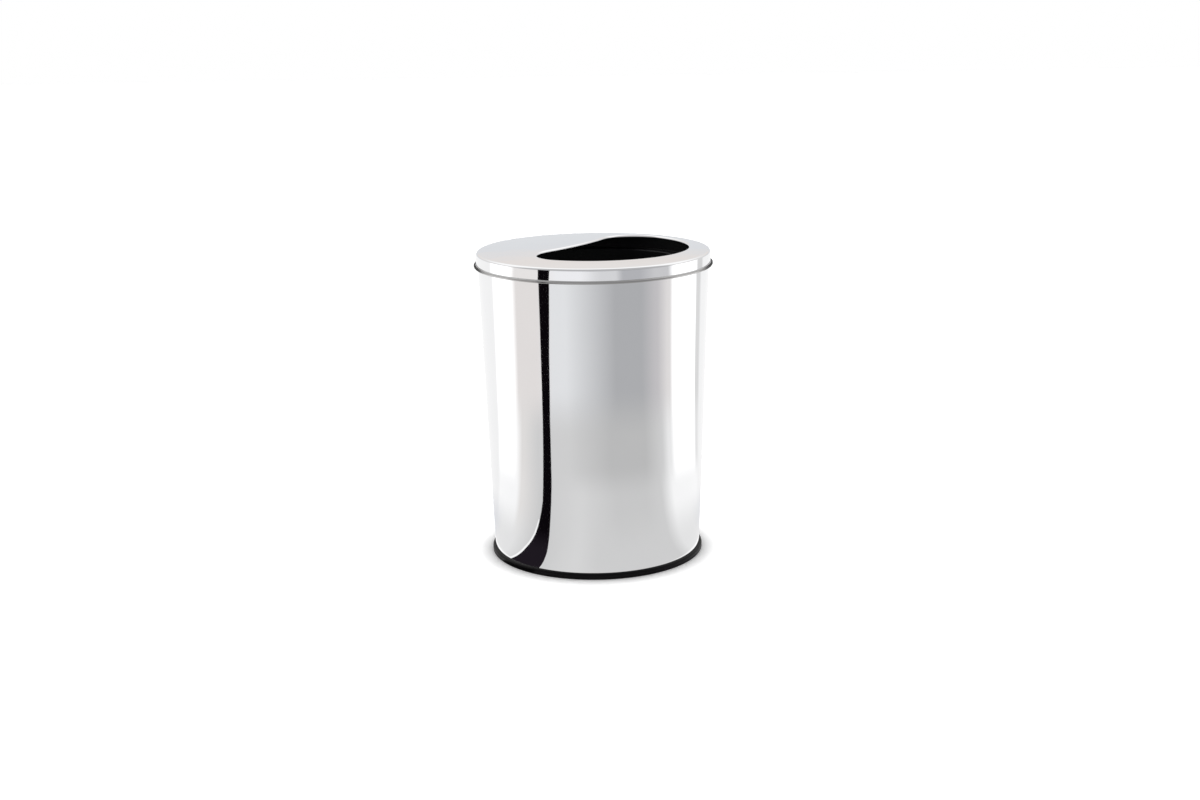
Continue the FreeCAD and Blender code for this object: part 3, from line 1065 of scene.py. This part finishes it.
@dataclass
class Lid:
    """The pressed lid: crowned top, soft shoulder, skirt with a curled bead, and the lipped mouth."""

    shell: BodyShell
    bucket: InnerBucket
    skirt: float = 0.0155
    crown: float = 0.0035
    shoulder: float = 0.0025
    bead: float = 0.0015
    wall_gap: float = 0.0008
    edge_band: float = 0.0004
    mouth_middle: Point = (0.0029, 0.0139)
    mouth_margin: float = 0.0084
    head_radius: float = 0.0367
    head_deg: float = 45.0
    tail_radius: float = 0.034
    tail_deg: float = 245.7
    waist_radius: float = 0.2148
    lip_width: float = 0.0024
    lip_depth: float = 0.0028
    lip_round: float = 0.002
    hem_round: float = 0.0006
    side_steps: int = 176
    head_steps: int = 64
    waist_steps: int = 80
    tail_steps: int = 112
    crown_shares: tuple[float, ...] = (
        *(0.0, 0.03, 0.08, 0.16, 0.26, 0.38),
        *(0.5, 0.62, 0.74, 0.84, 0.92, 0.97, 0.99),
    )

    @property
    def under(self) -> float:
        """Height of the lid's underside where it rests."""
        return self.bucket.flange_top + self.bucket.rest_gap

    @property
    def top(self) -> float:
        """Height of the crown's border."""
        return self.under + self.shell.sheet

    @property
    def inside(self) -> float:
        """Radius inside the skirt."""
        return self.shell.rim_radius + self.wall_gap

    @property
    def outside(self) -> float:
        """Radius outside the skirt."""
        return self.inside + self.shell.sheet

    @property
    def shoulder_start(self) -> float:
        """Radius where the crown runs into the shoulder."""
        return self.outside - self.shoulder

    @property
    def shoulder_low(self) -> float:
        """Height where the shoulder runs into the skirt."""
        return self.top - self.shoulder

    @property
    def bead_middle(self) -> float:
        """Height of the bead's middle."""
        return self.top - self.skirt + self.bead

    @property
    def crown_radius(self) -> float:
        """Radius of the crown's bowl."""
        return (self.shoulder_start**2 + self.crown**2) / (2 * self.crown)

    @property
    def side_radius(self) -> float:
        """Radius of the mouth's long outer side."""
        return self.shoulder_start - self.mouth_margin - math.hypot(*self.mouth_middle)

    def crown_height(self, place: Vector) -> float:
        """Height of the crown's top at a place in plan."""
        fall = self.crown_radius - math.sqrt(self.crown_radius**2 - place.length_squared)
        return self.top + self.crown - fall

    def mouth(self) -> list[MouthPoint]:
        """Draws the mouth in plan as four arcs that run into each other.

        Returns:
            Points round the mouth and the direction away from it at each.
        """
        middle = Vector(self.mouth_middle)
        head = middle + way_at(self.head_deg) * (self.side_radius - self.head_radius)
        tail = middle + way_at(self.tail_deg) * (self.side_radius - self.tail_radius)
        waist = self.waist_middle(head, tail)
        head_end = angle_of(waist - head)
        tail_start = angle_of(waist - tail)
        waist_start = head_end + FULL_TURN_DEG / 2
        waist_end = tail_start + FULL_TURN_DEG / 2
        runs = (
            (middle, self.side_radius, self.tail_deg - FULL_TURN_DEG, self.head_deg, self.side_steps, 1.0),
            (head, self.head_radius, self.head_deg, head_end, self.head_steps, 1.0),
            (waist, self.waist_radius, waist_start, waist_end, self.waist_steps, -1.0),
            (tail, self.tail_radius, tail_start, self.tail_deg, self.tail_steps, 1.0),
        )
        outline = []
        for centre, radius, start, end, steps, sign in runs:
            for k in range(steps):
                way = way_at(start + (end - start) * k / steps)
                outline.append((centre + way * radius, way * sign))
        return outline

    def waist_middle(self, head: Vector, tail: Vector) -> Vector:
        """Finds the middle of the waist's arc, which touches the head and the tail from outside.

        Args:
            head: The head's middle.
            tail: The tail's middle.

        Returns:
            The waist's middle.
        """
        apart = tail - head
        head_reach = self.waist_radius + self.head_radius
        tail_reach = self.waist_radius + self.tail_radius
        along = (apart.length_squared + head_reach**2 - tail_reach**2) / (2 * apart.length)
        aside = math.sqrt(head_reach**2 - along**2)
        way = apart.normalized()
        return head + way * along + Vector((way.y, -way.x)) * aside

    def stations(self) -> list[LidStation]:
        """Draws the lid's section from the mouth over the top, round the bead and back underneath.

        Returns:
            The track of each ring and its two places.
        """
        sheet = self.shell.sheet
        band = self.edge_band
        lean_deg = math.degrees(math.asin(self.shoulder_start / self.crown_radius))
        turn = (self.shoulder_start, self.shoulder_low)
        hem = self.lip_depth - self.hem_round
        close = math.degrees(math.acos((self.outside - self.inside - self.bead) / self.bead))
        bead_close = self.bead_middle + self.bead * math.sin(math.radians(close))
        lip_top = arc((self.lip_round, -self.lip_round), self.lip_round, 180.0, 90.0)
        shoulder = arc(turn, self.shoulder, 90.0 - lean_deg, 0.0)
        bead = arc((self.inside + self.bead, self.bead_middle), self.bead, close, -180.0)
        fold = arc(turn, self.shoulder - sheet, 0.0, 90.0 - lean_deg)
        hem_out = arc((self.lip_width - self.hem_round, -hem), self.hem_round, 0.0, -90.0)
        hem_in = arc((self.hem_round, -hem), self.hem_round, -90.0, -180.0)
        skirt = [(self.outside, self.shoulder_low - band), (self.outside, bead_close + band)]
        lining = [(self.inside, self.bead_middle + band), (self.inside, self.shoulder_low - band)]
        crown = [(share, 0.0) for share in self.crown_shares]
        ceiling = [(share, -sheet) for share in reversed(self.crown_shares)]
        tracks = (
            (Track.MOUTH, [*lip_top, (self.lip_round + band, 0.0)]),
            (Track.CROWN, crown),
            (Track.TURNED, [*shoulder, *skirt, *bead, *lining, *fold]),
            (Track.CROWN, ceiling),
            (Track.MOUTH, [(self.lip_width, -sheet), *hem_out, *hem_in]),
        )
        return [(track, first, second) for track, places in tracks for first, second in places]

    def ring(self, station: LidStation, outline: Sequence[MouthPoint]) -> list[Vector]:
        """Places one ring of the lid.

        Args:
            station: The ring's track and its two places.
            outline: Points round the mouth and the directions away from it.

        Returns:
            The ring's points.
        """
        track, first, second = station
        ring = []
        for edge, away in outline:
            along = edge.dot(away)
            run = -along + math.sqrt(along**2 - edge.length_squared + self.shoulder_start**2)
            border = edge + away * run
            if track is Track.TURNED:
                place = border.normalized() * first
                ring.append(Vector((place.x, place.y, second)))
                continue
            near = self.lip_width + self.edge_band
            place = edge + away * (first if track is Track.MOUTH else near + first * (run - near))
            ring.append(Vector((place.x, place.y, self.crown_height(place) + second)))
        return ring

    def build(self) -> None:
        """Builds and dresses the lid."""
        outline = self.mouth()
        rings = [self.ring(station, outline) for station in self.stations()]
        bead_top = self.bead_middle + self.bead
        finish = HemmedSteel("lid_steel", "polished_steel", skirt_radius=self.outside, bead_top=bead_top)
        dress(made_of_rings("lid_sheet", rings, closed=True), finish, Body.LID, "lid_cap")


def grey(level: float) -> Colour:
    """Gives a grey of a level."""
    return (level, level, level)


@dataclass(frozen=True)
class Card:
    """One card of the surround: the directions that it fills and its tone."""

    start_deg: float
    end_deg: float
    tone: Colour


@dataclass(frozen=True)
class CardRow:
    """The cards at one distance from the can, with a plain tone behind the can."""

    back: Colour
    cards: tuple[Card, ...]
    begins: float = 0.0
    full: float = 0.0
    back_left_deg: float = -117.0
    back_right_deg: float = 132.0

    def stops(self) -> list[Stop]:
        """Lists the row's tones by direction, as places along a whole turn.

        Returns:
            Each place along the turn and its tone.
        """
        half_turn = FULL_TURN_DEG / 2
        marks = [(-half_turn, self.back), (self.back_left_deg, self.back)]
        for card in self.cards:
            marks += [(card.start_deg, card.tone), (card.end_deg, card.tone)]
        marks += [(self.back_right_deg, self.back), (half_turn, self.back)]
        return [(deg / FULL_TURN_DEG + HALF_TURN_SHARE, tone) for deg, tone in marks]

    def tone(self, graph: Graph, direction: Value) -> Value:
        """Gives the row's tone in a direction, which is a place along the turn."""
        return graph.add("ShaderNodeValToRGB", {"stops": self.stops()}, {"Fac": direction})


CARD_ROWS = (
    CardRow(
        back=(0.79, 0.8, 0.83),
        cards=(
            Card(-99.0, -75.0, grey(0.89)),
            Card(-52.0, -48.0, grey(0.68)),
            Card(-17.0, -13.0, grey(0.775)),
            Card(0.0, 63.0, grey(0.72)),
            Card(76.0, 100.0, grey(0.9)),
        ),
    ),
    CardRow(
        begins=0.16,
        full=0.3,
        back=grey(1.0),
        cards=(
            Card(-111.0, -82.0, grey(1.1)),
            Card(-76.0, -74.0, (0.885, 0.865, 0.85)),
            Card(-53.0, -50.0, grey(0.7)),
            Card(-17.0, -13.0, grey(0.77)),
            Card(18.0, 46.0, grey(0.675)),
            Card(60.0, 63.0, grey(0.715)),
            Card(78.0, 118.0, grey(1.09)),
        ),
    ),
    CardRow(
        begins=0.33,
        full=0.45,
        back=grey(1.02),
        cards=(
            Card(-112.0, -87.0, grey(1.3)),
            Card(-76.0, -73.0, (0.86, 0.84, 0.825)),
            Card(-57.0, -25.0, grey(0.72)),
            Card(14.0, 48.0, grey(0.575)),
            Card(65.0, 67.0, grey(0.71)),
            Card(75.0, 78.0, grey(0.95)),
            Card(84.0, 118.0, grey(1.3)),
            Card(123.0, 126.0, grey(0.88)),
        ),
    ),
    CardRow(
        begins=0.54,
        full=0.78,
        back=grey(1.03),
        cards=(
            Card(-113.0, -90.0, grey(1.6)),
            Card(-80.0, -57.0, (0.875, 0.84, 0.825)),
            Card(-40.0, -27.0, (0.875, 0.885, 0.9)),
            Card(20.0, 46.0, (0.48, 0.485, 0.5)),
            Card(61.0, 63.0, (0.62, 0.605, 0.62)),
            Card(75.0, 78.5, (0.85, 0.825, 0.82)),
            Card(84.0, 118.0, grey(1.6)),
            Card(121.0, 128.0, grey(0.8)),
        ),
    ),
    CardRow(
        begins=1.45,
        full=1.75,
        back=grey(1.02),
        cards=(
            Card(-113.0, -88.0, grey(1.6)),
            Card(-80.0, -57.0, (0.93, 0.905, 0.89)),
            Card(-33.0, -12.0, (0.985, 0.99, 1.01)),
            Card(6.0, 21.0, (0.765, 0.77, 0.785)),
            Card(28.0, 44.0, (0.515, 0.52, 0.545)),
            Card(60.0, 75.0, (0.67, 0.67, 0.685)),
            Card(84.0, 116.0, grey(1.6)),
            Card(120.0, 128.0, grey(0.76)),
        ),
    ),
)


@dataclass
class Studio:
    """The pale floor, the surround that the steel mirrors, the lamp, the world and the camera."""

    floor_half: float = 9.0
    floor_drop: float = 0.0002
    floor_tint: float = 0.97
    floor_glow: float = 0.27
    surround_start: float = 0.118
    surround_reach: float = 2.5
    surround_rise: float = 0.385
    surround_lift: float = 0.0004
    surround_segments: int = 180
    flag_lift: float = 0.0008
    flag_tone: Colour = (0.0032, 0.0022, 0.0034)
    flag_foot_tone: Colour = (0.015, 0.0115, 0.0165)
    flag_foot_reach: float = 0.16
    flag_foot_fade: float = 0.08
    lamp_strength: float = 2.1
    lamp_spread_deg: float = 5.0
    soft_light: float = 0.33
    sky_stops: tuple[Stop, ...] = (
        (0.0, (0.765, 0.785, 0.81)),
        (0.15, (0.77, 0.785, 0.81)),
        (0.23, (0.85, 0.805, 0.78)),
        (0.4, grey(0.9)),
        (0.6, grey(1.15)),
    )
    dim_from: float = -0.05
    dim_full: float = 0.3
    dim_front: Colour = (0.53, 0.53, 0.54)
    lens: float = 51.42
    sensor: float = 36.0
    camera_place: Corner = (0.00816, -1.78787, 0.60549)
    camera_yaw_deg: float = 0.101
    camera_tilt_deg: float = 13.891
    camera_roll_deg: float = -0.827
    wall_foot: float = 0.02
    wall_shade: float = 0.28
    rim_glow_reach: float = 0.121
    rim_glow_edge: float = 0.004
    rim_glow: Colour = grey(1.15)
    flag_left: tuple[Point, ...] = (
        (-0.102, -0.051),
        (-0.137, -0.085),
        (-0.17, -0.127),
        (-0.2, -0.159),
        (-0.243, -0.203),
        (-0.494, -0.391),
        (-1.99, -1.46),
    )
    flag_right: tuple[Point, ...] = (
        (-0.068, -0.091),
        (-0.104, -0.131),
        (-0.171, -0.197),
        (-0.259, -0.289),
        (-0.437, -0.455),
        (-0.665, -0.697),
        (-1.617, -1.88),
    )
    fringe_points: int = 4
    fringe_width: float = 0.006
    fringe_lift: float = 0.0006
    fringe_tone: Colour = grey(1.1)

    def build_floor(self) -> None:
        """Builds the pale floor, which the camera sees as white outside the can's shadow."""
        half = self.floor_half
        signs = ((-1, -1), (1, -1), (1, 1), (-1, 1))
        mesh = bpy.data.meshes.new("floor")
        mesh.from_pydata([(x * half, y * half, -self.floor_drop) for x, y in signs], [], [(0, 1, 2, 3)])
        floor = linked("floor", mesh)
        mesh.materials.append(made_material("floor_white", self.floor_shader))

    def floor_shader(self, graph: Graph) -> Value:
        """Builds the floor's shader, whose slight glow shows to the camera and to the steel.

        Args:
            graph: The graph to build in.

        Returns:
            The shader's output.
        """
        plain = {"Base Color": grey(self.floor_tint), "Roughness": 1.0, "Specular IOR Level": 0.0}
        matt = graph.surface(plain)
        lit = graph.surface({**plain, "Emission Color": WHITE, "Emission Strength": self.floor_glow})
        return graph.by_ray(Ray.MIRRORED, graph.by_ray(Ray.CAMERA, matt, lit), lit)

    def light_card(self, card: bpy.types.Object, tone: Callable[[Graph], Value]) -> None:
        """Makes a card glow and hides it from all but shiny faces.

        Args:
            card: The card.
            tone: What works out its tone in a graph.
        """

        def shader(graph: Graph) -> Value:
            """Builds a surface that only glows."""
            plain = {"Base Color": BLACK, "Specular IOR Level": 0.0}
            return graph.surface({**plain, "Emission Color": tone(graph), "Emission Strength": 1.0})

        card.data.materials.append(made_material(card.name + "_tone", shader))
        card.visible_camera = False
        card.visible_diffuse = False
        card.visible_shadow = False
        card.visible_transmission = False

    def build_surround(self) -> None:
        """Builds the sweep of cards round the can, one mesh whose tone changes with direction."""
        places = (
            (self.surround_start, self.surround_lift),
            (self.surround_reach, self.surround_lift),
            (self.surround_reach, self.surround_rise),
        )
        rings = [circle(radius, up, self.surround_segments) for radius, up in places]
        self.light_card(made_of_rings("surround", rings, closed=False), self.surround_tone)

    def surround_tone(self, graph: Graph) -> Value:
        """Works out the surround's tone from direction, distance and height.

        Args:
            graph: The graph to build in.

        Returns:
            The tone.
        """
        across, depth, height = graph.split(graph.place())
        direction = graph.maths("ARCTAN2", across, -depth) / math.tau + HALF_TURN_SHARE
        distance = graph.distance(across, depth)
        nearest, *others = CARD_ROWS
        tone = nearest.tone(graph, direction)
        for row in others:
            share = graph.eased(distance, row.begins, row.full)
            tone = graph.blend(share, tone, row.tone(graph, direction))
        rim = graph.eased(-distance, -self.rim_glow_reach - self.rim_glow_edge, -self.rim_glow_reach)
        shade = self.wall_shade * graph.limited(-depth) * graph.eased(height, 0.0, self.wall_foot)
        return graph.blend(shade, graph.blend(rim, tone, self.rim_glow), BLACK)

    def strip_card(self, name: str, edges: Sequence[Sequence[Vector]], tone: Colour, foot: Colour) -> None:
        """Builds a card between two edges.

        Args:
            name: The card's name.
            edges: Its two edges, with as many points each.
            tone: Its tone.
            foot: Its tone near the can.
        """
        count = len(edges[0])
        faces = [(k, k + 1, count + k + 1, count + k) for k in range(count - 1)]
        mesh = bpy.data.meshes.new(name)
        mesh.from_pydata([*edges[0], *edges[1]], [], faces)
        self.light_card(linked(name, mesh), lambda graph: self.strip_tone(graph, tone, foot))

    def strip_tone(self, graph: Graph, tone: Colour, foot: Colour) -> Value:
        """Works out a strip's tone from the distance to the can.

        Args:
            graph: The graph to build in.
            tone: The strip's tone.
            foot: Its tone near the can.

        Returns:
            The tone at each place.
        """
        across, depth, _ = graph.split(graph.place())
        fade_end = self.flag_foot_reach + self.flag_foot_fade
        away = graph.eased(graph.distance(across, depth), self.flag_foot_reach, fade_end)
        return graph.blend(away, foot, tone)

    def build_flag(self) -> None:
        """Builds the black flag that the steel mirrors as a dark band, and the fringe along its foot."""
        edges = []
        for edge in (self.flag_left, self.flag_right):
            points = [Vector((*point, self.flag_lift)) for point in edge]
            edges.append([*points, Vector((*edge[-1], self.surround_rise))])
        self.strip_card("flag", edges, self.flag_tone, self.flag_foot_tone)
        foot = [Vector((*point, self.fringe_lift)) for point in self.flag_left[: self.fringe_points]]
        way = (foot[-1] - foot[0]).normalized()
        aside = Vector((way.y, -way.x, 0.0)) * self.fringe_width
        fringe = [[point + aside for point in foot], foot]
        self.strip_card("fringe", fringe, self.fringe_tone, self.fringe_tone)

    def build_world(self) -> None:
        """Builds the world: soft light, the sky that the steel mirrors and the camera's white backdrop."""
        world = bpy.data.worlds.new("studio")
        world.use_nodes = True
        bpy.context.scene.world = world
        graph = Graph(world.node_tree)
        _, depth, rise = graph.split(graph.add("ShaderNodeTexCoord", output="Generated"))
        sky = graph.add("ShaderNodeValToRGB", {"stops": self.sky_stops}, {"Fac": rise})
        mirrored = graph.blend(graph.eased(-depth, self.dim_from, self.dim_full), sky, self.dim_front)
        soft, backdrop, white = (
            graph.add("ShaderNodeBackground", None, {"Color": colour, "Strength": 1.0})
            for colour in (grey(self.soft_light), mirrored, WHITE)
        )
        lit = graph.by_ray(Ray.CAMERA, graph.by_ray(Ray.MIRRORED, soft, backdrop), white)
        graph.node("ShaderNodeOutputWorld", None, {"Surface": lit})

    def build_lamp(self) -> None:
        """Builds the wide lamp overhead, which shines straight down."""
        light = bpy.data.lights.new("overhead", "SUN")
        light.energy = self.lamp_strength
        light.angle = math.radians(self.lamp_spread_deg)
        lamp = linked("overhead", light)
        lamp.visible_glossy = False

    def build_camera(self) -> None:
        """Builds the camera at the photograph's viewing angle."""
        data = bpy.data.cameras.new("camera")
        data.lens = self.lens
        data.sensor_width = self.sensor
        camera = linked("camera", data)
        turns = (
            (self.camera_yaw_deg, "Z"),
            (FULL_TURN_DEG / 4 - self.camera_tilt_deg, "X"),
            (self.camera_roll_deg, "Z"),
        )
        place = Matrix.Translation(self.camera_place)
        for angle, axis in turns:
            place = place @ Matrix.Rotation(math.radians(angle), 4, axis)
        camera.matrix_world = place
        bpy.context.scene.camera = camera

    def build(self) -> None:
        """Builds the whole studio."""
        self.build_floor()
        self.build_surround()
        self.build_flag()
        self.build_world()
        self.build_lamp()
        self.build_camera()
        bpy.context.scene.view_settings.view_transform = "Standard"


def main() -> None:
    """Builds the can piece by piece, then the studio round it."""
    logging.basicConfig(level=logging.INFO, format="%(name)s: %(message)s")
    shell = BodyShell()
    pan = BottomPan(shell)
    bucket = InnerBucket(shell, pan)
    for piece in (shell, pan, BaseRing(shell, pan), bucket, Bail(bucket), Lid(shell, bucket), Studio()):
        piece.build()


if __name__ == "__main__":
    main()
